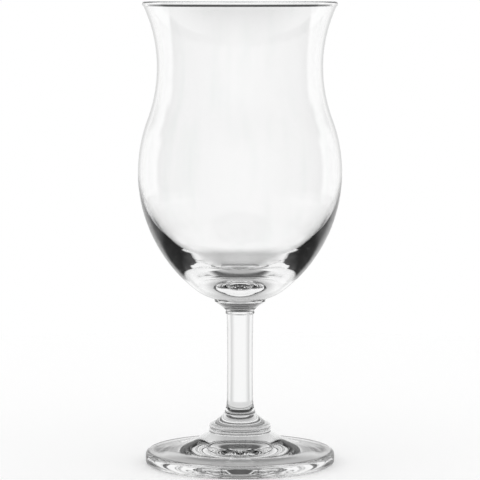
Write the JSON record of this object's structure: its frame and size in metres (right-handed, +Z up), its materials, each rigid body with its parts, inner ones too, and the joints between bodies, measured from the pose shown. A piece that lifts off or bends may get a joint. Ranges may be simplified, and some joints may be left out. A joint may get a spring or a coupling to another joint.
{
  "type": "hurricane glass",
  "caption": "Clear stemmed drinking glass: flared rim, drawn-in waist and swelling bowl with a thick base, on a collared stem and a broad round foot.",
  "frame": {"origin": "centre of the circle that the foot stands on, at the level of the table", "axes": "+Z up along the axis of revolution, from the foot to the rim; X and Y are free, because the glass is the same all round"},
  "size_m": [0.0815, 0.0814, 0.185],
  "materials": {
    "clear_glass": "clear, fire-polished"
  },
  "bodies": {
    "root": {"bowl": "clear_glass", "upper_collar": "clear_glass", "stem": "clear_glass", "lower_collar": "clear_glass", "foot": "clear_glass"}
  },
  "joints": []
}
